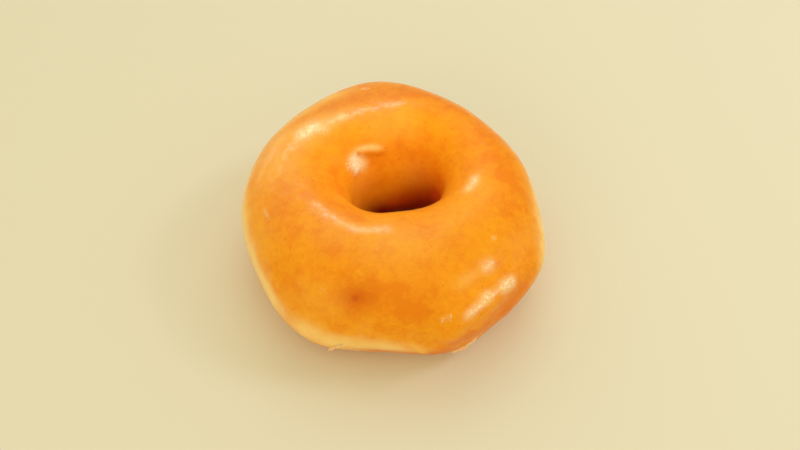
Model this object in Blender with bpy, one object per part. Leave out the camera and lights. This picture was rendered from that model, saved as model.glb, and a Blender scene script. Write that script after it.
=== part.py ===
"""Glazed ring doughnut, one solid piece of raised dough.

Units are metres, +Z is up, and the side seen first faces -Y.
The ring stands on the flat of its underside at z = 0, centred on x = y = 0.

A place on the ring is given by two angles in degrees. The azimuth runs
anticlockwise round the ring from +X. The turn runs round the tube of dough
from its outer side (0), over the crown (90), down the hole (180) and across
the base (270).
"""

import bpy
import numpy as np

# Driving dimensions of the ring
RIM_RADIUS = 0.0442
THROAT_RADIUS = 0.0107
CROWN_HEIGHT = 0.0353
WAIST_HEIGHT = 0.0154
BASE_PRESS = 0.0005

# The hole lies off the middle of the ring, and is a little longer than wide
HOLE_X = 0.0022
HOLE_Y = 0.0031
THROAT_STRETCH = 0.0026
THROAT_STRETCH_AZIMUTH = 14.0

# How square each quarter of the section is, where 2 is an ellipse
SQUARE_SHOULDER = 2.30
SQUARE_FUNNEL = 2.05
SQUARE_UNDERSIDE = 2.70
SQUARE_HOLE_FOOT = 3.40

# Where the rim stands out of the round or is pressed in: azimuth, spread, amount
RIM_SWELLS = {
    "flat of the back right": (37.0, 23.0, -0.0020),
    "nose of the back": (97.0, 14.0, 0.0030),
    "flat of the back left": (168.0, 14.0, -0.0010),
    "flank of the left": (205.0, 12.0, -0.0016),
    "corner of the front left": (241.0, 12.0, 0.0015),
    "corner of the front right": (296.0, 10.0, 0.0032),
    "corner of the right": (337.0, 11.0, 0.0025),
}

# The crown is higher over the back half: azimuth, half-width, edge, rise
BACK_RISE = (118.0, 68.0, 20.0, 0.0020)

# Where the crown humps or sags besides: azimuth, spread, amount
CROWN_SWELLS = {
    "hump of the back": (103.0, 26.0, 0.0008),
    "sag of the right": (335.0, 33.0, -0.0014),
}

# Raised and pressed places: azimuth, its spread, turn, its spread, amount
SURFACE_SWELLS = {
    "lip of the front right": (308.0, 11.0, 25.0, 12.0, 0.0026),
    "groove above the lip": (310.0, 11.0, 43.0, 7.0, -0.0008),
    "ledge in the hole": (126.0, 13.0, 129.0, 9.0, 0.0010),
    "pinch under the ledge": (136.0, 10.0, 147.0, 9.0, -0.0009),
    "hollow of the front": (266.0, 24.0, 330.0, 22.0, -0.0010),
}

# Faces round the ring and round its section
RING_SEGMENTS = 96
SECTION_SEGMENTS = 44

# Glazed crust
CRUST_COLOUR = (0.84, 0.34, 0.045, 1.0)
CRUST_ROUGHNESS = 0.32


def falloff(angle, middle, spread):
    """Give 1 at the middle angle, falling smoothly to 0 on both sides of it."""
    away = (angle - middle + 180.0) % 360.0 - 180.0
    return np.exp(-0.5 * (away / spread) ** 2)


def rounded_power(value, power):
    """Raise to a power and keep the sign, as the sides of a rounded square need."""
    return np.sign(value) * np.abs(value) ** power


def rim_radius(azimuth):
    """Distance from the ring's middle to its outer side."""
    radius = np.full_like(azimuth, RIM_RADIUS)
    for middle, spread, amount in RIM_SWELLS.values():
        radius += amount * falloff(azimuth, middle, spread)
    return radius


def throat_radius(azimuth):
    """Distance from the hole's middle to its wall, at the narrowest."""
    doubled = np.radians(2.0 * (azimuth - THROAT_STRETCH_AZIMUTH))
    return THROAT_RADIUS + THROAT_STRETCH * np.cos(doubled)


def crown_height(azimuth):
    """Height of the top of the tube of dough."""
    middle, half_width, edge, rise = BACK_RISE
    away = np.abs((azimuth - middle + 180.0) % 360.0 - 180.0)
    height = CROWN_HEIGHT + 0.5 * rise * (1.0 + np.tanh((half_width - away) / edge))
    for hump_middle, spread, amount in CROWN_SWELLS.values():
        height += amount * falloff(azimuth, hump_middle, spread)
    return height


def section_squareness(turn):
    """Squareness of the section, blended from quarter to quarter."""
    outward = 0.5 * (1.0 + np.cos(np.radians(turn)))
    upward = 0.5 * (1.0 + np.sin(np.radians(turn)))
    upward = upward * upward * (3.0 - 2.0 * upward)
    top = SQUARE_FUNNEL + (SQUARE_SHOULDER - SQUARE_FUNNEL) * outward
    bottom = SQUARE_HOLE_FOOT + (SQUARE_UNDERSIDE - SQUARE_HOLE_FOOT) * outward
    return bottom + (top - bottom) * upward


def surface_swell(azimuth, turn):
    """How far the crust stands proud of the plain section."""
    proud = np.zeros_like(azimuth)
    for middle, spread, level, reach, amount in SURFACE_SWELLS.values():
        proud += amount * falloff(azimuth, middle, spread) * falloff(turn, level, reach)
    return proud


def ring_surface(azimuth, turn):
    """Place on the crust for each azimuth and turn, as an array of points."""
    around = np.radians(azimuth)
    outward = np.cos(np.radians(turn))
    upward = np.sin(np.radians(turn))
    power = 2.0 / section_squareness(turn)
    across = 0.5 + 0.5 * rounded_power(outward, power)
    lift = rounded_power(upward, power)

    outer = rim_radius(azimuth)
    inner = throat_radius(azimuth)
    inner_x = HOLE_X + inner * np.cos(around)
    inner_y = HOLE_Y + inner * np.sin(around)
    x = inner_x + (outer * np.cos(around) - inner_x) * across
    y = inner_y + (outer * np.sin(around) - inner_y) * across

    above = (crown_height(azimuth) - WAIST_HEIGHT) * lift
    below = (WAIST_HEIGHT + BASE_PRESS) * lift
    z = WAIST_HEIGHT + np.where(lift >= 0.0, above, below)

    proud = surface_swell(azimuth, turn)
    x += proud * outward * np.cos(around)
    y += proud * outward * np.sin(around)
    z += proud * upward
    return np.stack([x, y, np.maximum(z, 0.0)], axis=-1)


def clear_scene():
    """Remove whatever the file opened with."""
    for item in list(bpy.data.objects):
        bpy.data.objects.remove(item, do_unlink=True)


def make_collection(name):
    """Collection that holds the piece."""
    collection = bpy.data.collections.new(name)
    bpy.context.scene.collection.children.link(collection)
    return collection


def glazed_crust_material():
    """Golden fried crust under a clear sugar glaze."""
    material = bpy.data.materials.new("glazed_crust")
    material.use_nodes = True
    shader = material.node_tree.nodes["Principled BSDF"]
    shader.inputs["Base Color"].default_value = CRUST_COLOUR
    shader.inputs["Roughness"].default_value = CRUST_ROUGHNESS
    shader.inputs["Metallic"].default_value = 0.0
    return material


def add_plain_ring(name):
    """Torus that has the ring's faces and not yet its form."""
    tube_radius = 0.5 * (RIM_RADIUS - THROAT_RADIUS)
    bpy.ops.mesh.primitive_torus_add(
        major_segments=RING_SEGMENTS,
        minor_segments=SECTION_SEGMENTS,
        major_radius=RIM_RADIUS - tube_radius,
        minor_radius=tube_radius,
    )
    ring = bpy.context.object
    ring.name = name
    ring.data.name = name
    return ring


def angles_of(points):
    """Azimuth and turn of each point of the plain torus."""
    tube_radius = 0.5 * (RIM_RADIUS - THROAT_RADIUS)
    out = np.hypot(points[:, 0], points[:, 1]) - (RIM_RADIUS - tube_radius)
    azimuth = np.degrees(np.arctan2(points[:, 1], points[:, 0])) % 360.0
    turn = np.degrees(np.arctan2(points[:, 2], out)) % 360.0
    return azimuth, turn


def shape_ring(ring):
    """Move the torus's points onto the crust and centre the ring on the origin."""
    points = np.array([vertex.co for vertex in ring.data.vertices])
    points = ring_surface(*angles_of(points))
    middle = 0.5 * (points.min(axis=0) + points.max(axis=0))
    middle[2] = 0.0
    ring.data.vertices.foreach_set("co", (points - middle).ravel())
    ring.data.update()


def make_doughnut(collection):
    """The one piece: a ring of dough under its glaze."""
    ring = add_plain_ring("doughnut")
    shape_ring(ring)
    ring.data.shade_smooth()
    ring.data.materials.append(glazed_crust_material())
    for holder in list(ring.users_collection):
        holder.objects.unlink(ring)
    collection.objects.link(ring)
    return ring


def main():
    clear_scene()
    make_doughnut(make_collection("glazed_doughnut"))


main()
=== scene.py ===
"""Looks of a glazed ring doughnut: its crust, its sugar glaze, and a small studio.

Units are metres, +Z is up, and the side seen first faces -Y. A place on the
crust is given by two angles in degrees. The azimuth runs anticlockwise round
the ring from +X. The turn runs round the tube of dough from its outer side
(0), over the crown (90), down the hole (180) and across the base (270).
"""

import math
from contextlib import contextmanager

import bpy
import numpy as np
from bpy.props import FloatProperty, FloatVectorProperty, IntProperty, PointerProperty
from mathutils import Euler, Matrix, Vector
from mathutils.bvhtree import BVHTree


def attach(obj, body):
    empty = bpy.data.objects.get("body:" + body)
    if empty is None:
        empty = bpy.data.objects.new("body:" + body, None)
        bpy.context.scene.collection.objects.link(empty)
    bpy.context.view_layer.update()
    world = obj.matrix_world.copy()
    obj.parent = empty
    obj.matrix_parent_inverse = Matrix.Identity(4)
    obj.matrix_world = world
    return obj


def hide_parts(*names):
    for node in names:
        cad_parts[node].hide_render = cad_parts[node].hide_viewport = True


bl_info = {
    "name": "Glazed Doughnut",
    "version": (1, 0, 0),
    "blender": (4, 5, 0),
    "location": "View3D > Sidebar > Doughnut",
    "description": "Dresses a ring of dough as a glazed doughnut and sets up its studio",
    "category": "Object",
}

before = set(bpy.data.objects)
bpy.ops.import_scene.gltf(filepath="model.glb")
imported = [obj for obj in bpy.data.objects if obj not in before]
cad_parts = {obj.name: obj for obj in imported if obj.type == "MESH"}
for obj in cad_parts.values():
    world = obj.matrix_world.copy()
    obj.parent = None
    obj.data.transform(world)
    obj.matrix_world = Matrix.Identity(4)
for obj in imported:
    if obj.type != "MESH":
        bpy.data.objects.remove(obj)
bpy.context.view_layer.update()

NODE = "doughnut"
BODY = "root"

# Line through the middle of the tube of dough, from which places on the crust are found,
# and how far from it they may lie
TUBE_MIDDLE = (0.0005, -0.0002)
TUBE_LINE_RADIUS = 0.0266
TUBE_LINE_HEIGHT = 0.016
REACH = 0.04

# Merging the loose triangles of the node, and rounding a piece
MERGE_DISTANCE = 0.000001
QUAD_ANGLE = math.radians(70.0)
SUBDIVISIONS = 2

# Middle of the hole, and the distances from it between which the painted shade of its wall fades
HOLE_MIDDLE = (0.0016, 0.0017, 0.0)
HOLE_REACH = (0.0145, 0.0200)

# Multiplied by this, a place loses its height
LEVEL = (1.0, 1.0, 0.0)

# Heights between which painted shade turns the wall of the hole brown and then darkest,
# and how much lower it does so for each metre towards the left and the right
HOLE_SHADE_HEIGHTS = (0.0170, 0.0045)
HOLE_DEEP_SHADE_HEIGHTS = (0.0090, 0.0035)
HOLE_LEAN = 1.00
HOLE_RIGHT_LEAN = 0.35

# The relief fades out towards the flat underside
RELIEF_STARTS = 0.0012
RELIEF_FULL = 0.0060

# Finest ripples of the glaze, and the detail of all lumps and ripples
FINE_RIPPLE_SIZE = 0.0017
FINE_RIPPLE_HEIGHT = 0.00006
LUMP_DETAIL = 1

# Places found between two stops of a stroke, its weight at its ends and how steeply it
# rises from there, and the least weight that is kept
ROUTE_STEPS = 14
END_WEIGHT = 0.4
END_RISE = 3.0
LEAST_WEIGHT = 0.002

# Strokes that more than one table uses
BUBBLE = [(257.0, 40.3)]
PIT = [(136.5, 130.5)]
CURTAIN = [(275.5, 356), (277.4, 354), (279.4, 348), (281.4, 340)]
SHOULDER = [(307.5, 46.5), (311, 46)]
LEFT_FLECK = [(200.3, 56), (206.5, 56.8)]
BACK_FLECKS = [(107, 73.5), (103.5, 74.5)]

# Broad and narrow relief of the crust: places that a stroke passes as (azimuth, turn),
# its half-width, and its height
RELIEF_STROKES = {
    "fullness of the back crown": ([(76, 112), (100, 116), (125, 114), (148, 107)], 0.0050, 0.00260),
    "lip of the front right": ([(320, 21), (313, 25), (306, 27), (300, 25), (294, 19)], 0.0022, 0.00060),
    "corner of the lip": ([(291, 19), (289.5, 12), (288.5, 4)], 0.0022, 0.00110),
    "groove above the lip": ([(319, 36), (310, 40), (301, 39), (296, 32)], 0.0018, -0.00030),
    "side of the lip": ([(318, 3), (309, 5), (302, 4), (296, 358)], 0.0030, 0.00055),
    "ledge in the hole": ([(101, 134.5), (108, 133.5), (118, 131.5), (130, 129), (139, 128)], 0.0009, 0.0006),
    "welt beside the pit": ([(147, 127), (147, 131), (145, 136)], 0.0014, 0.00030),
    "pit under the ledge": (PIT, 0.0006, -0.00070),
    "foot of the hole": ([(50, 212), (75, 212), (95, 212), (115, 212)], 0.0040, 0.00160),
    "burst bubble": (BUBBLE, 0.0018, -0.00040),
    "shoulder of the right": (
        [(336, 18), (330, 12), (324, 6), (317, 1), (312, 358), (306, 356)], 0.0038, 0.00180
    ),
    "corner of the front left": ([(239, 350), (246, 341)], 0.0038, 0.00060),
    "flat of the back right": ([(68, 66), (55, 62), (44, 58)], 0.0060, -0.00040),
    "flat of the back left": ([(136, 62), (150, 56)], 0.0060, -0.00045),
    "foot of the front": ([(274, 340), (286, 338)], 0.0035, 0.00060),
    "above the flange": ([(292, 341), (296, 348), (299, 354)], 0.0020, -0.00050),
    "curtain of the front": (CURTAIN, 0.0008, 0.00030),
    "dent of the left": ([(200, 68), (196, 72)], 0.0024, -0.00018),
    "dent of the front left": ([(233, 42), (228, 43)], 0.0026, -0.00016),
    "dent of the right": ([(358, 69), (4, 69)], 0.0022, -0.00015),
    "knot of the right shoulder": ([(307.5, 46.5), (314, 43.5)], 0.0012, 0.00030),
    "blister of the front": ([(286.2, 22), (286.6, 26)], 0.0005, 0.00020),
    "second blister of the front": ([(288.6, 23), (289.2, 28)], 0.0005, 0.00020),
}

# Where the crust is fried darker, and where it is brown; both also hold painted shade under
# the lip, and the brown in the pit, at the foot of the front and on the walls of the hole:
# stroke, half-width, strength, as in every table of paint
AMBER_AND_SHADE_STROKES = {
    "above the foot of the front": ([(262, 46), (272, 44), (284, 34)], 0.0042, 0.65),
    "front": ([(256, 44), (266, 46)], 0.0040, 0.40),
    "front left": ([(226, 45), (236, 38)], 0.0034, 0.30),
    "left": ([(187, 77), (196, 71), (204, 66), (214, 62), (222, 66)], 0.0032, 0.50),
    "near left": ([(232, 75), (241, 71), (248, 69), (262, 73), (274, 71)], 0.0034, 0.40),
    "right": ([(6, 74), (356, 68), (346, 63), (335, 58)], 0.0036, 0.52),
    "back left": ([(100, 82), (112, 85), (124, 85), (138, 84)], 0.0028, 0.65),
    "back": ([(56, 76), (70, 78), (88, 82), (104, 82)], 0.0044, 0.50),
    "back right": ([(8, 75), (18, 80), (32, 82), (46, 77)], 0.0044, 0.36),
    "front inside": ([(264, 103), (277, 106), (292, 106)], 0.0032, 0.50),
    "inside the near left arc": ([(204, 104), (226, 106), (238, 107), (252, 107)], 0.0030, 0.50),
    "left inside": ([(198, 122), (190, 130), (180, 126), (176, 118)], 0.0034, 0.45),
    # Painted shade under the overhanging lip
    "under the lip": ([(322, 358), (309, 0)], 0.0060, 0.88),
    "under the left end of the lip": ([(304, 357), (298, 354), (289, 344)], 0.0044, 0.62),
    "far wall of the hole": ([(40, 128), (65, 134), (95, 138)], 0.0045, 0.30),
}
BROWN_AND_SHADE_STROKES = {
    "burst bubble": (BUBBLE, 0.0013, 0.85),
    "round the burst bubble": ([(254.5, 40.3), (260, 42)], 0.0028, 0.52),
    # Painted shade in the pit
    "pit under the ledge": (PIT, 0.0005, 0.60),
    "back edge": ([(70, 73), (90, 77), (112, 82), (132, 84)], 0.0034, 0.13),
    "back right": ([(0, 71), (14, 77), (30, 80), (48, 76), (62, 74)], 0.0042, 0.13),
    # Painted shade where the front meets the floor
    "foot of the front": ([(256, 336), (270, 337), (280, 338), (290, 341)], 0.0014, 0.70),
    # Painted shade on the side of the lip
    "side of the lip": ([(317, 6), (310, 2), (303, 359)], 0.0040, 0.20),
    # Painted shade on the walls of the hole
    "right wall of the hole": ([(18, 178), (32, 184)], 0.0032, 0.90),
    "high on the right wall of the hole": ([(8, 155), (18, 152), (28, 152), (33, 158)], 0.0027, 0.42),
    "low on the far wall of the hole": ([(32, 190), (50, 195), (70, 197), (92, 197)], 0.0030, 0.50),
    # Painted shade under the ridge of the lip
    "under the ridge of the lip": ([(318, 358), (311, 4), (303, 5), (296, 0), (290, 352)], 0.0016, 0.28),
    "above the back left arc": ([(100, 83), (112, 86), (124, 86), (136, 86)], 0.0018, 0.16),
}

# Painted shade where the wall of the hole is darkest
HOLE_SHADE_STROKES = {
    "far wall of the hole": (
        [(24, 186), (31, 194), (38, 201), (48, 205), (64, 210), (84, 211), (102, 209), (118, 206),
         (131, 204)], 0.0037, 1.00
    ),
}

# The pale band that stood out of the hot fat, raised towards the outline at the right and back
# as painted sheen, and painted sheen along the outline of the back left
PALE_BAND_AND_SHEEN_STROKES = {
    "left": ([(150, 28), (164, 33), (178, 32), (192, 22), (206, 10), (222, 0), (238, -8)], 0.0044, 0.92),
    "front": ([(236, -5), (242, -8), (252, -12), (264, -17), (276, -22), (284, -30)], 0.0054, 0.72),
    "right and back": (
        [(-34, -12), (-28, 8), (-23, 19), (-14, 24), (-4, 28), (14, 28), (40, 25), (80, 18), (120, 17),
         (150, 28)], 0.0040, 0.88
    ),
    "outline of the back left": ([(160, 48), (153, 54), (139, 60), (126, 65), (112, 71)], 0.0018, 0.52),
}

# Painted highlights and sheen, painted light on the walls of the hole and the back crown,
# and a few places where the crust shows lighter as a soft cream through the glaze
SHEEN_AND_CREAM_STROKES = {
    "ledge in the hole": ([(141, 127), (130, 128.5), (118, 131.5), (107, 133.5)], 0.0008, 1.00),
    "outline of the back left": ([(156, 53), (150, 57), (139, 64), (126, 69), (114, 74)], 0.0024, 0.50),
    "curtain of the front": (CURTAIN, 0.0008, 0.70),
    "right of the cluster": ([(140, 133), (137, 140)], 0.0016, 0.75),
    "left wall of the hole": ([(155, 160), (141, 157), (140, 166)], 0.0030, 0.17),
    "far wall of the hole": ([(60, 148), (59, 160), (60, 170)], 0.0028, 0.15),
    "back crown": ([(78, 112), (95, 114), (112, 114)], 0.0040, 0.26),
    "left flank": ([(158, 68), (172, 72), (186, 74)], 0.0060, 0.40),
    "left shoulder": ([(196, 46), (210, 40)], 0.0060, 0.20),
    "front crown": ([(262, 86), (282, 84)], 0.0056, 0.25),
    "right inside": ([(352, 99), (348, 102.5), (342, 108)], 0.0016, 0.45),
    "tail of the right shoulder": ([(293, 44), (303, 47)], 0.0012, 0.35),
    "back left arc": ([(162, 84), (154, 88), (144, 92), (130, 98)], 0.0036, 0.60),
    "near left arc": ([(216, 95), (235, 97), (252, 96), (266, 100)], 0.0022, 0.25),
    "haze of the front left": ([(236, 84), (244, 82)], 0.0040, 0.15),
    "haze of the lower left": ([(238, 32), (250, 32)], 0.0040, 0.18),
}

# Where the sugar of the glaze has set white and grainy; on the arcs, the lip, the shoulder,
# the cluster and the flecks its white also stands in as painted highlight, and at the back
# left as painted sheen
SUGAR_AND_HIGHLIGHT_STROKES = {
    "cluster beside the pit": ([(146.2, 130.5), (144.8, 135.5), (143.6, 140)], 0.0018, 1.0),
    "round the cluster": ([(147, 131), (142, 139)], 0.0027, 0.35),
    "haze of the back left": ([(161, 82), (156, 92), (150, 100)], 0.0048, 0.17),
    "head of the back left": ([(150, 80), (143, 84)], 0.0024, 0.26),
    "right of the cluster": ([(140.5, 132.5), (138, 138), (137, 143)], 0.0017, 0.78),
    "ledge in the hole": ([(141, 126.5), (130, 128), (112, 132)], 0.0010, 0.40),
    "right shoulder": ([(306.5, 47), (311, 46)], 0.0018, 0.48),
    "tail of the right shoulder": ([(296, 46.5), (303, 46.5)], 0.0016, 0.20),
    "right inside": ([(342.9, 107.5), (348, 104.5), (352, 102), (357, 102)], 0.0015, 0.55),
    "near left arc": ([(240, 97), (249, 96), (259, 101.5)], 0.0015, 0.40),
    "tail of the near left arc": ([(208, 92), (218, 95.5), (230, 98), (241, 97.5)], 0.0019, 0.24),
    "right of the near left arc": ([(259, 101.5), (268, 103)], 0.0017, 0.46),
    "lip, right end": ([(315, 26), (308.5, 29)], 0.0017, 0.72),
    "lip, middle": ([(307, 30.5), (304, 30.5)], 0.0012, 0.40),
    "lip, left of the middle": ([(303.5, 30.5), (300.5, 29.5)], 0.0014, 0.74),
    "lip, left end": ([(301.5, 29.5), (297.3, 27), (293, 22)], 0.0012, 0.64),
    "blister of the front": ([(286, 23.5), (288.8, 26)], 0.0008, 0.34),
    "back left arc": ([(158, 84), (152, 86.5), (146, 89)], 0.0026, 0.66),
    "foot of the back left arc": ([(150, 91), (148, 95), (146.5, 98)], 0.0018, 0.60),
    "middle of the back left arc": ([(144.5, 95.5), (139, 98), (133, 99), (125, 99.3)], 0.0018, 0.36),
    "fleck of the left": (LEFT_FLECK, 0.0005, 0.45),
    "fleck of the front left": ([(244.3, 40.7), (246, 40.4)], 0.0005, 0.25),
    "fleck of the right": ([(319.0, 60.7)], 0.0006, 0.55),
    "flecks of the back": (BACK_FLECKS, 0.0007, 0.50),
    "flecks of the back middle": ([(95, 85), (89, 84)], 0.0008, 0.16),
}

# Where the glaze lies thick and glossy
GLOSS_STROKES = {
    "back left blotch": ([(158, 83.5), (152, 86), (147, 88)], 0.0028, 0.62),
    "back left arc": ([(146, 90), (136, 98), (124, 102), (104, 104), (86, 100), (74, 95)], 0.0025, 0.50),
    "near left arc": ([(210, 93.5), (218, 96), (226, 98), (233, 98), (240, 97.5)], 0.0021, 0.52),
    "head of the near left arc": ([(241, 96.5), (249, 96.5), (258, 101), (267, 102.5)], 0.0019, 0.36),
    "right inside": ([(357, 102), (352, 102), (348, 104.5), (342, 108.5)], 0.0016, 0.38),
    "ledge in the hole": ([(145, 128), (133, 128), (118, 131), (108, 133)], 0.0011, 0.80),
    "right shoulder": (SHOULDER, 0.0015, 0.48),
    "lip, right end": ([(315, 25.5), (308.5, 28.7)], 0.0018, 0.85),
    "lip, middle": ([(306, 30.3), (300, 29)], 0.0014, 0.90),
    "lip, left end": ([(301.5, 29), (297.5, 26.6), (294.5, 23.8), (292.5, 21)], 0.0014, 0.80),
    "blister of the front": ([(286, 24), (288.8, 26)], 0.0011, 0.35),
    "left flank": ([(166, 72), (180, 76), (194, 76)], 0.0085, 0.42),
}

# Masks that are painted on the crust's points, and the strengths between which the sugar
# and the gloss come in
PAINTED = {
    "amber": AMBER_AND_SHADE_STROKES,
    "brown": BROWN_AND_SHADE_STROKES,
    "hole_shade": HOLE_SHADE_STROKES,
    "pale": PALE_BAND_AND_SHEEN_STROKES,
    "sheen_and_cream": SHEEN_AND_CREAM_STROKES,
    "sugar": SUGAR_AND_HIGHLIGHT_STROKES,
    "gloss": GLOSS_STROKES,
}
PAINT_RANGE = (0.06, 0.95)

# Amber patches of the crust: size, the noise between which they fade in, and strength
MOTTLES = {
    "wide": (0.0130, 0.40, 0.72, 0.22),
    "middling": (0.0045, 0.38, 0.70, 0.28),
    "small": (0.0018, 0.35, 0.70, 0.24),
    "speckles": (0.0006, 0.30, 0.70, 0.24),
    "freckles": (0.0014, 0.60, 0.76, 0.45),
}
MOTTLE_DETAIL = 2.0

# Least and most that the middling patches leave of the painted amber and shade
AMBER_UNEVENNESS = (0.75, 1.25)

# Uneven edge of the pale band: its patches (size, detail, and the noise between which
# they fade in), their strength, and the strengths between which the band comes in
WAIST_PATCHES = (0.007, 4.0, 0.2, 0.8)
WAIST_WOBBLE = 0.35
WAIST_RANGE = (0.28, 1.12)

# Sugar grain: detail of its grains and of its puckers, share of the puckers in its height,
# and the noise between which a grain shows
GRAIN_DETAIL = 2.0
PUCKER_DETAIL = 1.0
PUCKER_SHARE = 2.0
GRAIN_RANGE = (0.4, 0.65)
GRAIN_HEIGHT = 0.00005

# Grain of the crust: width of its grains and puckers, its strength everywhere, where sugar
# has set and where the glaze is glossy, and least and most of the sugar's white in it
CRUST_GRAIN_SIZES = (0.00055, 0.0022)
CRUST_GRAIN = 0.30
SUGAR_GRAIN = 3.0
GLOSS_GRAIN = 0.15
SUGAR_GRAININESS = (0.55, 1.0)

# Glossy glaze: its patches and its finer ragged places (size, detail, and the noise between
# which they fade in), with the least and most that they leave of the shine
SHINE_PATCHES = (0.0015, 3.0, 0.34, 0.60)
SHINE_PATCHINESS = (0.30, 1.0)
SHINE_RAGS = (0.0006, 1.0, 0.36, 0.62)
SHINE_RAGGEDNESS = (0.45, 1.25)

# Roughness of the crust, what full shine takes from it, and what grain adds
CRUST_ROUGHNESS = 0.58
SHINE_SMOOTHING = 0.30
GRAIN_ROUGHENING = 0.08

# Clear coat: its weight in full shine, where the crust turns away and in the patches, and
# how far the crust turns away before it comes in
SHINE_COAT = 0.75
EDGE_COAT = 0.50
PATCHY_COAT = 0.04
COAT_EDGE = (0.35, 0.85)
CRUST_FINISH = {
    "Coat Roughness": 0.24,
    "Coat IOR": 1.45,
    "Specular IOR Level": 0.12,
    "Subsurface Weight": 0.18,
    "Subsurface Radius": (1.0, 0.35, 0.08),
    "Subsurface Scale": 0.0025,
}

# Edges where the glaze ran down and set: stroke, width, droop, and the power that moves the
# widest place along it
GLAZE_EDGES = {
    "flange of the front right": (
        [(290.4, 333), (292.5, 336), (295, 340), (297.5, 345), (299.5, 350)], 0.0008, 0.2, 0.8
    ),
    "spike of the front left": ([(247.3, 334), (248.5, 338), (250.5, 344), (253.5, 351)], 0.0008, 0.4, 0.5),
}

# Faces along and across an edge of glaze, how deep its root lies in the crust, the power
# that rounds its rim, and the rim's waves: height against the width, and the angle in
# radians that they run through
EDGE_LENGTHS = 36
EDGE_WIDTHS = 3
EDGE_ROOT = 0.0003
EDGE_FULLNESS = 0.7
EDGE_WAVE = 0.22
EDGE_WAVE_ANGLE = 17.0

# Set glaze: its lighter patches (size, detail, and the noise between which they fade in),
# how much lighter they are, its roughness, and the sizes and strength of its grain
EDGE_PATCHES = (0.0018, 2.0, 0.3, 0.7)
EDGE_LIGHTENING = 0.45
EDGE_ROUGHNESS = (0.22, 0.42)
EDGE_GRAIN_SIZES = (0.0005, 0.0015)
EDGE_GRAIN = 0.4
EDGE_FINISH = {
    "Subsurface Weight": 0.6,
    "Subsurface Radius": (1.0, 0.5, 0.25),
    "Subsurface Scale": 0.002,
}

# Flakes of sugar: stroke, spread in degrees, count, size against a large flake
FLAKE_CLUSTERS = {
    "cluster beside the pit": ([(146.6, 131), (144.8, 136), (143.6, 141)], 2.6, 150, 1.5),
    "round the cluster": ([(151, 135), (147, 139), (143, 140)], 4.0, 44, 0.8),
    "lower left of the cluster": ([(157, 129), (153, 135), (148, 140)], 2.2, 34, 0.8),
    "right of the cluster": ([(141, 132.5), (138.5, 137), (137, 142)], 1.6, 34, 1.1),
    "ledge in the hole": ([(141, 126.5), (128, 128.5)], 0.8, 7, 0.8),
    "right shoulder": (SHOULDER, 1.3, 30, 0.9),
    "lip": ([(315.5, 25.5), (308.5, 29)], 1.2, 34, 0.9),
    "left of the lip": ([(303.5, 30.5), (298, 27.5)], 0.8, 22, 0.7),
    "blister of the front": ([(286.0, 21.5), (286.5, 25)], 0.14, 7, 0.8),
    "second blister of the front": ([(288.4, 22.5), (289.1, 27.5)], 0.14, 8, 0.8),
    "near left arc": ([(226, 98), (241, 97), (249, 96), (259, 101.5)], 0.9, 46, 0.65),
    "right inside": ([(342.9, 107.5), (348, 104), (351, 101)], 1.6, 26, 0.7),
    "back left arc": ([(156, 83), (150, 85)], 2.4, 6, 0.7),
    "fleck of the left": (LEFT_FLECK, 0.3, 4, 0.6),
    "fleck of the front left": ([(243.5, 40.6), (246.8, 40.4)], 0.6, 5, 0.5),
    "flecks of the back": (BACK_FLECKS, 0.5, 7, 0.8),
}

# Flakes that lie elsewhere: count, turns between which they lie, size against a large flake
LOOSE_FLAKES = 24
LOOSE_TURNS = (20.0, 125.0)
LOOSE_SCALE = 0.55

# How far a flake tilts in radians and how much more it spins, then least and most of its
# size, and of its length, width and thickness
FLAKE_TILT = 0.65
FLAKE_SPIN = (1.0, 1.0, 5.0)
FLAKE_SIZES = (0.45, 1.0)
FLAKE_STRETCH = ((0.7, 0.5, 0.6), (1.2, 1.0, 1.2))

# A flake of radius 1: its sides, thickness and bevel
FLAKE_SIDES = 6
FLAKE_DEPTH = 0.5
FLAKE_BEVEL = 0.16

# Sugar of the flakes: its darker patches (size, detail, and the noise between which they
# fade in), how much darker they are, and its roughness
FLAKE_PATCHES = (0.0010, 1.0, 0.3, 0.7)
FLAKE_DARKENING = 0.2
FLAKE_ROUGHNESS = (0.16, 0.30)
FLAKE_FINISH = {"Specular IOR Level": 0.8}

# Lights: azimuth, elevation, distance, width, height, brightness, colour, and whether
# they show in the gloss or light the crust and the floor
LIGHTS = {
    "window": (101.0, 42.0, 0.60, 0.40, 0.14, 13.0, (1.0, 0.98, 0.88), "gloss"),
    "side window": (-4.0, 24.0, 0.60, 0.16, 0.16, 12.0, (1.0, 0.97, 0.90), "gloss"),
    "front glint": (-50.0, 24.0, 0.60, 0.25, 0.20, 5.2, (1.0, 0.97, 0.88), "gloss"),
    "left card": (142.0, 12.0, 0.60, 0.50, 0.16, 2.6, (1.0, 0.96, 0.85), "gloss"),
    "right fill": (4.0, 44.0, 0.60, 0.14, 0.13, 7.5, (1.0, 0.97, 0.90), "light"),
    "broad window": (136.0, 37.0, 0.90, 0.46, 0.38, 2.2, (1.0, 0.94, 0.80), "gloss"),
    "key": (82.0, 55.0, 0.90, 0.70, 0.60, 0.93, (1.0, 0.93, 0.80), "light"),
    "front fill": (-112.0, 26.0, 1.00, 0.90, 0.50, 1.10, (1.0, 0.86, 0.60), "light"),
}
LIGHT_AIM = (0.0, 0.0, 0.02)

# Narrow soft lights into the hole: azimuth, elevation, distance, aim, width of the cone, power
HOLE_LIGHTS = {
    "light for the left wall": (-8.0, 50.0, 0.60, (-0.0090, 0.0050, 0.0165), 2.4, 14.0),
    "light for the far wall": (-118.0, 50.0, 0.60, (0.0073, 0.0127, 0.0195), 2.0, 5.0),
}
HOLE_LIGHT_RADIUS = 0.02
HOLE_LIGHT_COLOUR = (1.0, 0.95, 0.80)

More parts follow.
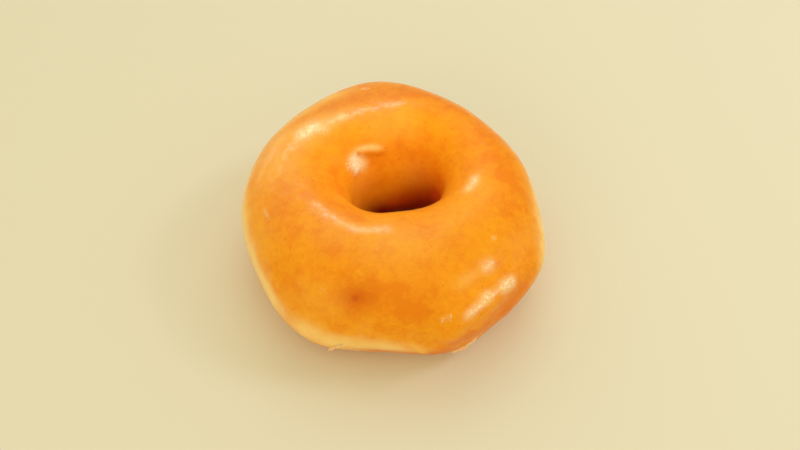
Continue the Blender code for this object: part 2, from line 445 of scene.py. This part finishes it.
# Floor and camera
FLOOR_RADIUS = 3.0
FLOOR_SIDES = 64
FLOOR_FINISH = {"Roughness": 0.55, "Specular IOR Level": 0.0}
CAMERA_TARGET = (0.0026, -0.0042, 0.015)
CAMERA_AZIMUTH = -90.0
CAMERA_LENS = 36.585
CAMERA_SENSOR = 36.0

# Places of the colour sockets of a Mix node: share, first and second colour, and result
MIX_INPUTS = (0, 6, 7)
MIX_RESULT = 2

# Where new shader nodes stand: rows in a column, and the space between them
NODE_ROWS = 4
NODE_SPACE_ACROSS = 220.0
NODE_SPACE_DOWN = 260.0


def select_only(piece):
    """Deselect everything, then select this piece and make it active."""
    bpy.ops.object.select_all(action="DESELECT")
    piece.select_set(True)
    bpy.context.view_layer.objects.active = piece


@contextmanager
def all_faces_of(piece):
    """Edit mode with all of a piece selected, for the lines under it."""
    select_only(piece)
    bpy.ops.object.mode_set(mode="EDIT")
    bpy.ops.mesh.select_all(action="SELECT")
    yield
    bpy.ops.object.mode_set(mode="OBJECT")


def apply_modifier(piece, kind, **settings):
    """Add a modifier with these settings and apply it."""
    select_only(piece)
    bpy.ops.object.modifier_add(type=kind)
    modifier = piece.modifiers[-1]
    for name, value in settings.items():
        setattr(modifier, name, value)
    bpy.ops.object.modifier_apply(modifier=modifier.name)


def subdivide(piece):
    """Round a piece by subdivision."""
    apply_modifier(piece, "SUBSURF", levels=SUBDIVISIONS, render_levels=SUBDIVISIONS)


def mesh_points(piece):
    """Points of a piece's mesh, one row each."""
    flat = np.empty(len(piece.data.vertices) * 3)
    piece.data.vertices.foreach_get("co", flat)
    return flat.reshape(-1, 3)


def smooth_step(value, low, high):
    """Rise smoothly from 0 at low to 1 at high."""
    share = np.clip((value - low) / (high - low), 0.0, 1.0)
    return share * share * (3.0 - 2.0 * share)


def weight_group(piece, name, weights):
    """Vertex group that holds one weight for each point."""
    group = piece.vertex_groups.new(name=name)
    for index in np.nonzero(weights > LEAST_WEIGHT)[0]:
        group.add([int(index)], float(weights[index]), "REPLACE")
    return group


class CrustFinder:
    """Finds the place and the outward direction on a crust for an azimuth and a turn."""

    def __init__(self, piece):
        self.tree = BVHTree.FromObject(piece, bpy.context.evaluated_depsgraph_get())

    def __call__(self, azimuth, turn):
        around = math.radians(azimuth)
        out = Vector((math.cos(around), math.sin(around), 0.0))
        start = Vector((*TUBE_MIDDLE, TUBE_LINE_HEIGHT)) + TUBE_LINE_RADIUS * out
        aim = math.cos(math.radians(turn)) * out + Vector((0.0, 0.0, math.sin(math.radians(turn))))
        place, normal, _, _ = self.tree.ray_cast(start, aim, REACH)
        if place is None:
            raise RuntimeError(f"no crust at azimuth {azimuth}, turn {turn}")
        if normal.dot(aim) < 0.0:
            normal.negate()
        return place, normal


def angle_between(first, second, share):
    """Angle that lies this share of the way from one to the other, by the short way round."""
    return first + ((second - first + 180.0) % 360.0 - 180.0) * share


def route(finder, stops):
    """Points of the crust along a stroke through these stops."""
    places = []
    for first, second in zip(stops, stops[1:]):
        for step in range(ROUTE_STEPS):
            share = step / ROUTE_STEPS
            azimuth = angle_between(first[0], second[0], share)
            turn = angle_between(first[1], second[1], share)
            places.append(finder(azimuth, turn)[0])
    places.append(finder(*stops[-1])[0])
    return np.array(places)


def resampled(stops, count):
    """Evenly shared places along a list of stops."""
    shares = np.linspace(0.0, len(stops) - 1.0, count)
    columns = zip(*stops)
    return list(zip(*[np.interp(shares, range(len(stops)), column) for column in columns]))


def stroke_weights(points, finder, stops, half_width):
    """Weights of a stroke on the crust, 1 along its middle and fading at its two ends."""
    places = route(finder, stops)
    weights = np.zeros(len(points))
    last = len(places) - 1
    for index, place in enumerate(places):
        fade = 1.0 if last == 0 else min(1.0, END_WEIGHT + END_RISE * min(index, last - index) / last)
        squared = ((points - place) ** 2).sum(axis=1)
        weights = np.maximum(weights, fade * np.exp(-0.5 * squared / half_width**2))
    return weights


def paint(piece, name, finder, strokes):
    """Store a mask of strokes on a piece's points, for its material to read."""
    points = mesh_points(piece)
    mask = np.zeros(len(points))
    for stops, half_width, strength in strokes.values():
        mask = np.maximum(mask, strength * stroke_weights(points, finder, stops, half_width))
    layer = piece.data.attributes.new(name, "FLOAT", "POINT")
    layer.data.foreach_set("value", mask)


def push(piece, name, weights, height):
    """Move the weighted part of the crust out by a height, or in if it is negative."""
    group = weight_group(piece, name, weights)
    apply_modifier(piece, "DISPLACE", mid_level=0.0, strength=height, vertex_group=group.name)


def raise_and_press(piece, strokes):
    """Raise the strokes of positive height, and press in those of negative height."""
    finder = CrustFinder(piece)
    points = mesh_points(piece)
    relief = np.zeros(len(points))
    for stops, half_width, height in strokes.values():
        relief += height * stroke_weights(points, finder, stops, half_width)
    highest = relief.max()
    deepest = relief.min()
    push(piece, "raised", np.maximum(relief, 0.0) / highest, highest)
    push(piece, "pressed", np.minimum(relief, 0.0) / deepest, deepest)


def lumps(piece, name, size, height):
    """Uneven swelling of the crust, of lumps of about this size and height."""
    texture = bpy.data.textures.new(name, "CLOUDS")
    texture.noise_scale = size
    texture.noise_depth = LUMP_DETAIL
    apply_modifier(piece, "DISPLACE", texture=texture, strength=height, vertex_group="relief")


def node_copy(name, node):
    """New piece with a copy of a node's mesh, its loose triangles merged into quads."""
    piece = bpy.data.objects.new(name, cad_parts[node].data.copy())
    piece.data.name = name
    piece.data.materials.clear()
    bpy.context.scene.collection.objects.link(piece)
    with all_faces_of(piece):
        bpy.ops.mesh.customdata_custom_splitnormals_clear()
        bpy.ops.mesh.remove_doubles(threshold=MERGE_DISTANCE)
        bpy.ops.mesh.tris_convert_to_quads(face_threshold=QUAD_ANGLE, shape_threshold=QUAD_ANGLE)
        bpy.ops.mesh.normals_make_consistent(inside=False)
    return piece


def add_node(tree, kind, inputs=None, **settings):
    """Node with these settings, each input set to a value or linked to a socket."""
    column, row = divmod(len(tree.nodes), NODE_ROWS)
    made = tree.nodes.new(kind)
    made.location = (NODE_SPACE_ACROSS * column, -NODE_SPACE_DOWN * row)
    for name, value in settings.items():
        setattr(made, name, value)
    for name, value in (inputs or {}).items():
        if isinstance(value, bpy.types.NodeSocket):
            tree.links.new(value, made.inputs[name])
        else:
            made.inputs[name].default_value = value
    return made


def new_group(name, inputs, outputs):
    """Node group with these named sockets, what it is given and what it puts out."""
    group = bpy.data.node_groups.new(name, "ShaderNodeTree")
    for socket_name, kind, default in inputs:
        socket = group.interface.new_socket(socket_name, in_out="INPUT", socket_type=kind)
        if default is not None:
            socket.default_value = default
    for socket_name, kind in outputs:
        group.interface.new_socket(socket_name, in_out="OUTPUT", socket_type=kind)
    given = add_node(group, "NodeGroupInput").outputs
    result = add_node(group, "NodeGroupOutput").inputs
    return group, given, result


def maths(tree, operation, first, second, clamp=False):
    """Result of a sum on two values."""
    inputs = {0: first, 1: second}
    return add_node(tree, "ShaderNodeMath", inputs, operation=operation, use_clamp=clamp).outputs[0]


def range_of(tree, value, low, high, to_low=0.0, to_high=1.0):
    """Value taken from one range to another with soft ends."""
    inputs = {"Value": value, "From Min": low, "From Max": high, "To Min": to_low, "To Max": to_high}
    return add_node(tree, "ShaderNodeMapRange", inputs, interpolation_type="SMOOTHSTEP").outputs[0]


def mix_colour(tree, share, first, second):
    """Colour that lies this share of the way from the first to the second."""
    inputs = dict(zip(MIX_INPUTS, (share, first, second)))
    return add_node(tree, "ShaderNodeMix", inputs, data_type="RGBA").outputs[MIX_RESULT]


def noise_of_size(tree, position, size, detail):
    """Noise that varies over the surface in places of this size."""
    scale = maths(tree, "DIVIDE", 1.0, size)
    inputs = {"Vector": position, "Scale": scale, "Detail": detail}
    return add_node(tree, "ShaderNodeTexNoise", inputs).outputs["Fac"]


def mottle_group():
    """Soft patches: a mask that varies over the surface in patches of a given size."""
    inputs = [
        ("Position", "NodeSocketVector", None),
        ("Patch Size", "NodeSocketFloat", 0.01),
        ("Detail", "NodeSocketFloat", 2.0),
        ("Low", "NodeSocketFloat", 0.35),
        ("High", "NodeSocketFloat", 0.65),
    ]
    group, given, result = new_group("mottle", inputs, [("Mask", "NodeSocketFloat")])
    noise = noise_of_size(group, given["Position"], given["Patch Size"], given["Detail"])
    group.links.new(range_of(group, noise, given["Low"], given["High"]), result["Mask"])


def grain_group():
    """Fine sugar grain: a height for a Bump node and a mask for roughness."""
    inputs = [
        ("Position", "NodeSocketVector", None),
        ("Grain Size", "NodeSocketFloat", 0.0005),
        ("Pucker Size", "NodeSocketFloat", 0.002),
    ]
    outputs = [("Height", "NodeSocketFloat"), ("Mask", "NodeSocketFloat")]
    group, given, result = new_group("sugar_grain", inputs, outputs)
    fine = noise_of_size(group, given["Position"], given["Grain Size"], GRAIN_DETAIL)
    wide = noise_of_size(group, given["Position"], given["Pucker Size"], PUCKER_DETAIL)
    height = maths(group, "ADD", fine, maths(group, "MULTIPLY", wide, PUCKER_SHARE))
    group.links.new(height, result["Height"])
    group.links.new(range_of(group, fine, *GRAIN_RANGE), result["Mask"])


def mottle(tree, position, size, detail, low, high):
    """Mask of soft patches, placed in a material with its own values."""
    inputs = {"Position": position, "Patch Size": size, "Detail": detail, "Low": low, "High": high}
    group = bpy.data.node_groups["mottle"]
    return add_node(tree, "ShaderNodeGroup", inputs, node_tree=group).outputs["Mask"]


def sugar_grain(tree, position, grain_size, pucker_size):
    """Height and mask of sugar grain, placed in a material with its own values."""
    inputs = {"Position": position, "Grain Size": grain_size, "Pucker Size": pucker_size}
    group = bpy.data.node_groups["sugar_grain"]
    return add_node(tree, "ShaderNodeGroup", inputs, node_tree=group).outputs


def painted(tree, name):
    """Mask that was painted on the piece's points."""
    return add_node(tree, "ShaderNodeAttribute", attribute_name=name).outputs["Fac"]


def add_shares(tree, *shares):
    """Sum of several masks, each with its share."""
    parts = [maths(tree, "MULTIPLY", mask, share) for mask, share in shares]
    total = parts[0]
    for part in parts[1:]:
        total = maths(tree, "ADD", total, part)
    return total


def new_material(name, finish):
    """Material with this finish, and its node tree, shader and object coordinates."""
    material = bpy.data.materials.new(name)
    material.use_nodes = True
    tree = material.node_tree
    shader = tree.nodes["Principled BSDF"]
    for socket, value in finish.items():
        shader.inputs[socket].default_value = value
    position = add_node(tree, "ShaderNodeTexCoord").outputs["Object"]
    return material, tree, shader, position


def length_setting(name, description, default):
    """Setting that holds a length."""
    return FloatProperty(name=name, description=description, default=default, unit="LENGTH")


def colour_setting(name, description, *colour):
    """Setting that holds a colour."""
    return FloatVectorProperty(
        name=name, description=description, default=(*colour, 1.0), size=4, subtype="COLOR"
    )


class CrustSettings(bpy.types.PropertyGroup):
    """Sizes and colours of the crust."""

    lump_size: length_setting("Lump Size", "Width of the wide lumps", 0.013)
    lump_height: length_setting("Lump Height", "Height of the wide lumps", 0.00040)
    ripple_size: length_setting("Ripple Size", "Width of the small ripples", 0.004)
    ripple_height: length_setting("Ripple Height", "Height of the small ripples", 0.00014)
    golden: colour_setting("Golden", "Main colour of the crust", 0.95, 0.410, 0.010)
    # Amber also serves as painted shade under the lip
    amber: colour_setting("Amber", "Colour where the crust is fried darker", 0.85, 0.255, 0.004)
    # Brown also serves as painted shade in the hole, the pit, under the lip and at the front foot
    brown: colour_setting("Brown", "Colour of the brownest spots", 0.60, 0.074, 0.002)
    # Painted shade: dark colour at the foot of the hole, where shade falls
    hole_shade: colour_setting("Deep", "Colour at the foot of the hole", 0.19, 0.005, 0.0005)
    # Pale also serves as painted sheen along the outline
    pale: colour_setting("Pale", "Colour of the band round the waist", 1.0, 0.68, 0.25)
    # Painted highlights, sheen and light, with some lighter cream of the crust
    sheen_and_cream: colour_setting("Honey", "Colour where the crust shows lighter", 1.0, 0.56, 0.12)
    # The sugar's white also serves as painted highlight
    sugar: colour_setting("Sugar", "Colour of glaze that has set grainy", 1.0, 0.83, 0.56)


class GlazeSettings(bpy.types.PropertyGroup):
    """Sizes and colours of the set edges and flakes of the glaze."""

    edge_thickness: length_setting("Edge Thickness", "Thickness of the glaze's set edges", 0.00035)
    edge_colour: colour_setting("Edge Colour", "Colour of the glaze's set edges", 0.95, 0.47, 0.24)
    flake_size: length_setting("Flake Size", "Half the width of a large flake", 0.00024)
    flake_seed: IntProperty(name="Flake Seed", description="Seed of the scattered flakes", default=7)
    flake_colour: colour_setting("Flake Colour", "Colour of the flakes of sugar", 1.0, 0.94, 0.76)


class StageSettings(bpy.types.PropertyGroup):
    """Floor, light from all round and camera."""

    floor_colour: colour_setting("Floor", "Colour of the floor", 0.78, 0.80, 0.80)
    surround: colour_setting("Surround", "Colour of the light from all round", 1.0, 0.85, 0.47)
    surround_strength: FloatProperty(
        name="Surround Strength", description="Strength of the light from all round", default=0.80
    )
    camera_distance: length_setting("Camera Distance", "From the camera to what it looks at", 0.2416)
    camera_elevation: FloatProperty(
        name="Camera Elevation", description="Height of the view above the floor",
        default=math.radians(49.2), subtype="ANGLE",
    )


def away_from_axis(tree, position):
    """Distance from the upright line through the middle of the hole."""
    level = add_node(tree, "ShaderNodeVectorMath", {0: position, 1: LEVEL}, operation="MULTIPLY")
    inputs = {0: level.outputs[0], 1: HOLE_MIDDLE}
    return add_node(tree, "ShaderNodeVectorMath", inputs, operation="DISTANCE").outputs["Value"]


def hole_shade_mask(tree, position, top, foot):
    """Mask of painted shade on the wall of the hole, rising from 0 at one height to 1 at a lower one."""
    inside = range_of(tree, away_from_axis(tree, position), *HOLE_REACH, 1.0, 0.0)
    place = add_node(tree, "ShaderNodeSeparateXYZ", {"Vector": position}).outputs
    leftward = maths(tree, "MULTIPLY", place["X"], -HOLE_LEAN)
    rightward = maths(tree, "MULTIPLY", place["X"], HOLE_RIGHT_LEAN)
    height = maths(tree, "ADD", place["Z"], maths(tree, "MAXIMUM", leftward, rightward))
    return maths(tree, "MULTIPLY", inside, range_of(tree, height, foot, top, 1.0, 0.0))


def waist_band_and_sheen(tree, position):
    """Mask of the pale band round the waist and of painted sheen along the outline, with an uneven edge."""
    wobble = maths(tree, "MULTIPLY", mottle(tree, position, *WAIST_PATCHES), WAIST_WOBBLE)
    return range_of(tree, maths(tree, "ADD", painted(tree, "pale"), wobble), *WAIST_RANGE)


def amber_and_shade_patches(tree, position):
    """Mask of the amber: patches of every size, and the painted places with uneven strength, painted shade
    under the lip among them.
    """
    masks = {}
    shares = []
    for name, (size, low, high, share) in MOTTLES.items():
        masks[name] = mottle(tree, position, size, MOTTLE_DETAIL, low, high)
        shares.append((masks[name], share))
    patches = add_shares(tree, *shares)
    uneven = range_of(tree, masks["middling"], 0.0, 1.0, *AMBER_UNEVENNESS)
    amber = maths(tree, "MULTIPLY", painted(tree, "amber"), uneven)
    return maths(tree, "ADD", patches, amber, clamp=True)


def crust_colour(tree, position, sugar_and_highlight_grains):
    """Colour of the crust: golden under amber, pale, brown, lighter and sugary places, with painted shade,
    highlights, sheen and light among them.
    """
    settings = bpy.context.scene.doughnut_crust
    layers = [
        (amber_and_shade_patches(tree, position), settings.amber),
        (waist_band_and_sheen(tree, position), settings.pale),
        # Painted shade in the hole, brown spots and painted shade, then painted highlights and sheen
        (hole_shade_mask(tree, position, *HOLE_SHADE_HEIGHTS), settings.brown),
        (hole_shade_mask(tree, position, *HOLE_DEEP_SHADE_HEIGHTS), settings.hole_shade),
        (painted(tree, "hole_shade"), settings.hole_shade),
        (painted(tree, "brown"), settings.brown),
        (painted(tree, "sheen_and_cream"), settings.sheen_and_cream),
        (sugar_and_highlight_grains, settings.sugar),
    ]
    colour = tuple(settings.golden)
    for mask, layer in layers:
        colour = mix_colour(tree, mask, colour, tuple(layer))
    return colour


def crust_normal(tree, grain, sugar, gloss):
    """Normal of the crust: fine grain all over, and more of it where sugar has set."""
    share = add_shares(tree, (sugar, SUGAR_GRAIN), (gloss, GLOSS_GRAIN))
    height = maths(tree, "MULTIPLY", grain["Height"], share)
    height = maths(tree, "ADD", height, maths(tree, "MULTIPLY", grain["Height"], CRUST_GRAIN))
    inputs = {"Height": height, "Strength": 1.0, "Distance": GRAIN_HEIGHT}
    return add_node(tree, "ShaderNodeBump", inputs).outputs["Normal"]


def crust_shine(tree, position, gloss):
    """Mask of the thick glaze, patchy and with ragged edges, and its patches."""
    patchy = mottle(tree, position, *SHINE_PATCHES)
    ragged = mottle(tree, position, *SHINE_RAGS)
    shine = maths(tree, "MULTIPLY", gloss, range_of(tree, patchy, 0.0, 1.0, *SHINE_PATCHINESS))
    return maths(tree, "MULTIPLY", shine, range_of(tree, ragged, 0.0, 1.0, *SHINE_RAGGEDNESS)), patchy


def crust_material():
    """Golden fried crust under a thin clear glaze, grainy where the sugar has set, with painted shade and
    painted highlights in its colour.
    """
    material, tree, shader, position = new_material("glazed_crust", CRUST_FINISH)
    grain = sugar_grain(tree, position, *CRUST_GRAIN_SIZES)
    # Set white sugar, partly painted highlight
    sugar = range_of(tree, painted(tree, "sugar"), *PAINT_RANGE)
    gloss = range_of(tree, painted(tree, "gloss"), *PAINT_RANGE)
    grainy = range_of(tree, grain["Mask"], 0.0, 1.0, *SUGAR_GRAININESS)
    sugar_and_highlight_grains = maths(tree, "MULTIPLY", sugar, grainy)
    tree.links.new(crust_colour(tree, position, sugar_and_highlight_grains), shader.inputs["Base Color"])
    tree.links.new(crust_normal(tree, grain, sugar, gloss), shader.inputs["Normal"])

    shine, patchy = crust_shine(tree, position, gloss)
    rough = maths(tree, "SUBTRACT", CRUST_ROUGHNESS, maths(tree, "MULTIPLY", shine, SHINE_SMOOTHING))
    rough = maths(tree, "ADD", rough, maths(tree, "MULTIPLY", grain["Mask"], GRAIN_ROUGHENING))
    tree.links.new(rough, shader.inputs["Roughness"])
    edge = add_node(tree, "ShaderNodeLayerWeight", {"Blend": 0.5}).outputs["Facing"]
    edge = range_of(tree, edge, *COAT_EDGE)
    coat = add_shares(tree, (shine, SHINE_COAT), (edge, EDGE_COAT), (patchy, PATCHY_COAT))
    tree.links.new(coat, shader.inputs["Coat Weight"])
    return material


def build_crust():
    """The ring of dough, rounded and with its relief."""
    settings = bpy.context.scene.doughnut_crust
    piece = node_copy("crust", NODE)
    subdivide(piece)
    heights = mesh_points(piece)[:, 2]
    weight_group(piece, "relief", smooth_step(heights, RELIEF_STARTS, RELIEF_FULL))
    lumps(piece, "wide lumps", settings.lump_size, settings.lump_height)
    lumps(piece, "small ripples", settings.ripple_size, settings.ripple_height)
    lumps(piece, "fine ripples", FINE_RIPPLE_SIZE, FINE_RIPPLE_HEIGHT)
    raise_and_press(piece, RELIEF_STROKES)
    piece.vertex_groups.clear()
    finder = CrustFinder(piece)
    for name, strokes in PAINTED.items():
        paint(piece, name, finder, strokes)
    select_only(piece)
    bpy.ops.object.shade_smooth()
    piece.data.materials.append(crust_material())
    return piece


class DOUGHNUT_OT_crust(bpy.types.Operator):
    """Dress the ring of dough in its fried crust"""

    bl_idname = "doughnut.crust"
    bl_label = "Crust"
    bl_options = {"REGISTER", "UNDO"}

    def execute(self, context):
        piece = build_crust()
        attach(piece, BODY)
        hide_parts(NODE)
        return {"FINISHED"}


def glaze_edge(name, finder, stops, width, droop, tip):
    """Thin edge of set glaze that stands off the crust along a stroke."""
    places = [finder(*stop) for stop in resampled(stops, EDGE_LENGTHS + 1)]
    bpy.ops.mesh.primitive_grid_add(x_subdivisions=EDGE_LENGTHS, y_subdivisions=EDGE_WIDTHS)
    piece = bpy.context.object
    piece.name = name
    points = mesh_points(piece)
    for index, (x, y, _) in enumerate(points.copy()):
        share = 0.5 * (x + 1.0)
        out = 0.5 * (y + 1.0)
        place, normal = [np.array(found) for found in places[round(share * EDGE_LENGTHS)]]
        reach = width * max(0.0, math.sin(math.pi * share**tip)) ** EDGE_FULLNESS
        reach *= 1.0 + EDGE_WAVE * math.sin(EDGE_WAVE_ANGLE * share) * out
        points[index] = place - EDGE_ROOT * normal + (EDGE_ROOT + reach) * out * normal
        points[index][2] -= droop * reach * out * out
    piece.data.vertices.foreach_set("co", points.ravel())
    piece.data.update()
    thickness = bpy.context.scene.doughnut_glaze.edge_thickness
    apply_modifier(piece, "SOLIDIFY", thickness=thickness, offset=0.0)
    subdivide(piece)
    return piece


def patchy_material(name, finish, colours, share, patches, roughness):
    """Material that changes in patches: from a colour towards another, and in roughness."""
    material, tree, shader, position = new_material(name, finish)
    mask = mottle(tree, position, *patches)
    first, second = [tuple(colour) for colour in colours]
    colour = mix_colour(tree, maths(tree, "MULTIPLY", mask, share), first, second)
    tree.links.new(colour, shader.inputs["Base Color"])
    tree.links.new(range_of(tree, mask, 0.0, 1.0, *roughness), shader.inputs["Roughness"])
    return material, tree, shader, position


def edge_material():
    """Thin translucent set glaze, a little lighter in patches."""
    settings = bpy.context.scene.doughnut_glaze
    colours = (settings.edge_colour, settings.flake_colour)
    material, tree, shader, position = patchy_material(
        "set_glaze", EDGE_FINISH, colours, EDGE_LIGHTENING, EDGE_PATCHES, EDGE_ROUGHNESS
    )
    height = sugar_grain(tree, position, *EDGE_GRAIN_SIZES)["Height"]
    inputs = {"Height": height, "Strength": EDGE_GRAIN, "Distance": GRAIN_HEIGHT}
    bump = add_node(tree, "ShaderNodeBump", inputs)
    tree.links.new(bump.outputs["Normal"], shader.inputs["Normal"])
    return material


def build_glaze_foot():
    """Edges where the glaze ran down the crust and set at its foot."""
    finder = CrustFinder(bpy.data.objects["crust"])
    edges = [glaze_edge(name, finder, *values) for name, values in GLAZE_EDGES.items()]
    piece = edges[0]
    select_only(piece)
    for edge in edges[1:]:
        edge.select_set(True)
    bpy.ops.object.join()
    piece.name = "glaze_foot"
    piece.data.name = "glaze_foot"
    with all_faces_of(piece):
        bpy.ops.mesh.normals_make_consistent(inside=False)
    bpy.ops.object.shade_smooth()
    piece.data.materials.append(edge_material())
    return piece


class DOUGHNUT_OT_glaze_foot(bpy.types.Operator):
    """Add the edges where the glaze has set at the foot of the crust"""

    bl_idname = "doughnut.glaze_foot"
    bl_label = "Glaze Foot"
    bl_options = {"REGISTER", "UNDO"}

    def execute(self, context):
        piece = build_glaze_foot()
        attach(piece, BODY)
        return {"FINISHED"}


def one_flake():
    """Points and faces of one flake of sugar, 1 in radius."""
    bpy.ops.mesh.primitive_cylinder_add(vertices=FLAKE_SIDES, radius=1.0, depth=FLAKE_DEPTH)
    flake = bpy.context.object
    with all_faces_of(flake):
        bpy.ops.mesh.bevel(offset=FLAKE_BEVEL, segments=1)
    points = mesh_points(flake)
    faces = [tuple(face.vertices) for face in flake.data.polygons]
    bpy.data.objects.remove(flake, do_unlink=True)
    return points, faces


def flake_places(finder, random):
    """Places, outward directions and sizes of the flakes: thick in the clusters, thin elsewhere."""
    places = []
    for stops, spread, count, scale in FLAKE_CLUSTERS.values():
        for azimuth, turn in resampled(stops, count):
            offset = random.normal(0.0, spread, 2)
            places.append((*finder(azimuth + offset[0], turn + offset[1]), scale))
    for _ in range(LOOSE_FLAKES):
        azimuth = random.uniform(0.0, 360.0)
        turn = random.uniform(*LOOSE_TURNS)
        places.append((*finder(azimuth, turn), LOOSE_SCALE))
    return places


def build_flakes():
    """Small flakes of sugar that lie on the glaze, joined into one piece."""
    settings = bpy.context.scene.doughnut_glaze
    random = np.random.default_rng(settings.flake_seed)
    finder = CrustFinder(bpy.data.objects["crust"])
    shape, shape_faces = one_flake()
    points = []
    faces = []
    for place, normal, scale in flake_places(finder, random):
        size = settings.flake_size * scale * random.uniform(*FLAKE_SIZES)
        spin = Euler(random.uniform(-FLAKE_TILT, FLAKE_TILT, 3) * FLAKE_SPIN).to_matrix()
        turn = np.array(normal.to_track_quat("Z", "Y").to_matrix() @ spin)
        stretched = shape * random.uniform(*FLAKE_STRETCH) * size
        faces += [tuple(index + len(points) * len(shape) for index in face) for face in shape_faces]
        points.append(stretched @ turn.T + np.array(place))
    mesh = bpy.data.meshes.new("sugar_flakes")
    mesh.from_pydata(np.concatenate(points).tolist(), [], faces)
    piece = bpy.data.objects.new("sugar_flakes", mesh)
    bpy.context.scene.collection.objects.link(piece)
    piece.data.materials.append(flake_material())
    return piece


def flake_material():
    """Pale sugar that shines, a little darker in patches."""
    settings = bpy.context.scene.doughnut_glaze
    colours = (settings.flake_colour, settings.edge_colour)
    return patchy_material(
        "sugar", FLAKE_FINISH, colours, FLAKE_DARKENING, FLAKE_PATCHES, FLAKE_ROUGHNESS
    )[0]


class DOUGHNUT_OT_sugar_flakes(bpy.types.Operator):
    """Scatter small flakes of sugar on the glaze"""

    bl_idname = "doughnut.sugar_flakes"
    bl_label = "Sugar Flakes"
    bl_options = {"REGISTER", "UNDO"}

    def execute(self, context):
        piece = build_flakes()
        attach(piece, BODY)
        return {"FINISHED"}


def stand_facing(item, aim, azimuth, elevation, distance):
    """Stand a light or the camera at a distance from its aim, facing it, and link it."""
    around = math.radians(azimuth)
    level = math.cos(math.radians(elevation))
    upward = math.sin(math.radians(elevation))
    toward = Vector((level * math.cos(around), level * math.sin(around), upward))
    bpy.context.scene.collection.objects.link(item)
    item.location = Vector(aim) + distance * toward
    item.rotation_euler = toward.to_track_quat("Z", "Y").to_euler()


def add_light(name, azimuth, elevation, distance, width, height, brightness, colour, use):
    """Soft rectangular light aimed at the ring."""
    data = bpy.data.lights.new(name, "AREA")
    data.shape = "RECTANGLE"
    data.size = width
    data.size_y = height
    data.energy = brightness * math.pi * width * height
    data.color = colour
    light = bpy.data.objects.new(name, data)
    stand_facing(light, LIGHT_AIM, azimuth, elevation, distance)
    light.visible_camera = False
    light.visible_glossy = use == "gloss"
    light.visible_diffuse = use == "light"


def add_hole_light(name, azimuth, elevation, distance, aim, cone, power):
    """Narrow soft light that reaches one wall of the hole."""
    data = bpy.data.lights.new(name, "SPOT")
    data.energy = power
    data.color = HOLE_LIGHT_COLOUR
    data.spot_size = math.radians(cone)
    data.spot_blend = 1.0
    data.shadow_soft_size = HOLE_LIGHT_RADIUS
    light = bpy.data.objects.new(name, data)
    stand_facing(light, aim, azimuth, elevation, distance)
    light.visible_glossy = False


def add_floor():
    """Plain pale floor."""
    bpy.ops.mesh.primitive_circle_add(vertices=FLOOR_SIDES, radius=FLOOR_RADIUS, fill_type="NGON")
    floor = bpy.context.object
    floor.name = "floor"
    colour = tuple(bpy.context.scene.doughnut_stage.floor_colour)
    floor.data.materials.append(new_material("pale_floor", {"Base Color": colour, **FLOOR_FINISH})[0])


def set_surround():
    """Even warm light from all round."""
    settings = bpy.context.scene.doughnut_stage
    world = bpy.data.worlds.new("surround")
    world.use_nodes = True
    background = world.node_tree.nodes["Background"]
    background.inputs["Color"].default_value = tuple(settings.surround)
    background.inputs["Strength"].default_value = settings.surround_strength
    bpy.context.scene.world = world


def add_camera():
    """Camera at the viewing angle of the photograph."""
    settings = bpy.context.scene.doughnut_stage
    data = bpy.data.cameras.new("camera")
    data.lens = CAMERA_LENS
    data.sensor_width = CAMERA_SENSOR
    camera = bpy.data.objects.new("camera", data)
    elevation = math.degrees(settings.camera_elevation)
    stand_facing(camera, CAMERA_TARGET, CAMERA_AZIMUTH, elevation, settings.camera_distance)
    bpy.context.scene.camera = camera


class DOUGHNUT_OT_stage(bpy.types.Operator):
    """Set up the floor, the lights and the camera"""

    bl_idname = "doughnut.stage"
    bl_label = "Stage"
    bl_options = {"REGISTER", "UNDO"}

    def execute(self, context):
        add_floor()
        for name, values in LIGHTS.items():
            add_light(name, *values)
        for name, values in HOLE_LIGHTS.items():
            add_hole_light(name, *values)
        set_surround()
        add_camera()
        context.scene.view_settings.view_transform = "Standard"
        return {"FINISHED"}


class DOUGHNUT_PT_panel(bpy.types.Panel):
    """Panel that lists the pieces"""

    bl_label = "Glazed Doughnut"
    bl_idname = "DOUGHNUT_PT_panel"
    bl_space_type = "VIEW_3D"
    bl_region_type = "UI"
    bl_category = "Doughnut"

    def draw(self, context):
        for operator in OPERATORS:
            self.layout.operator(operator)
        for name in SETTINGS:
            group = getattr(context.scene, name)
            box = self.layout.box()
            for key in group.bl_rna.properties.keys():
                if key not in {"rna_type", "name"}:
                    box.prop(group, key)


OPERATORS = ("doughnut.crust", "doughnut.glaze_foot", "doughnut.sugar_flakes", "doughnut.stage")
CLASSES = (
    CrustSettings,
    GlazeSettings,
    StageSettings,
    DOUGHNUT_OT_crust,
    DOUGHNUT_OT_glaze_foot,
    DOUGHNUT_OT_sugar_flakes,
    DOUGHNUT_OT_stage,
    DOUGHNUT_PT_panel,
)
SETTINGS = {
    "doughnut_crust": CrustSettings,
    "doughnut_glaze": GlazeSettings,
    "doughnut_stage": StageSettings,
}


def register():
    """Register the classes and hang the settings on the scene."""
    for item in CLASSES:
        bpy.utils.register_class(item)
    for name, kind in SETTINGS.items():
        setattr(bpy.types.Scene, name, PointerProperty(type=kind))


def unregister():
    """Take the settings and the classes away again."""
    for name in SETTINGS:
        delattr(bpy.types.Scene, name)
    for item in reversed(CLASSES):
        bpy.utils.unregister_class(item)


def main():
    """Build every piece."""
    register()
    mottle_group()
    grain_group()
    bpy.ops.doughnut.crust()
    bpy.ops.doughnut.glaze_foot()
    bpy.ops.doughnut.sugar_flakes()
    bpy.ops.doughnut.stage()


if __name__ == "__main__":
    main()
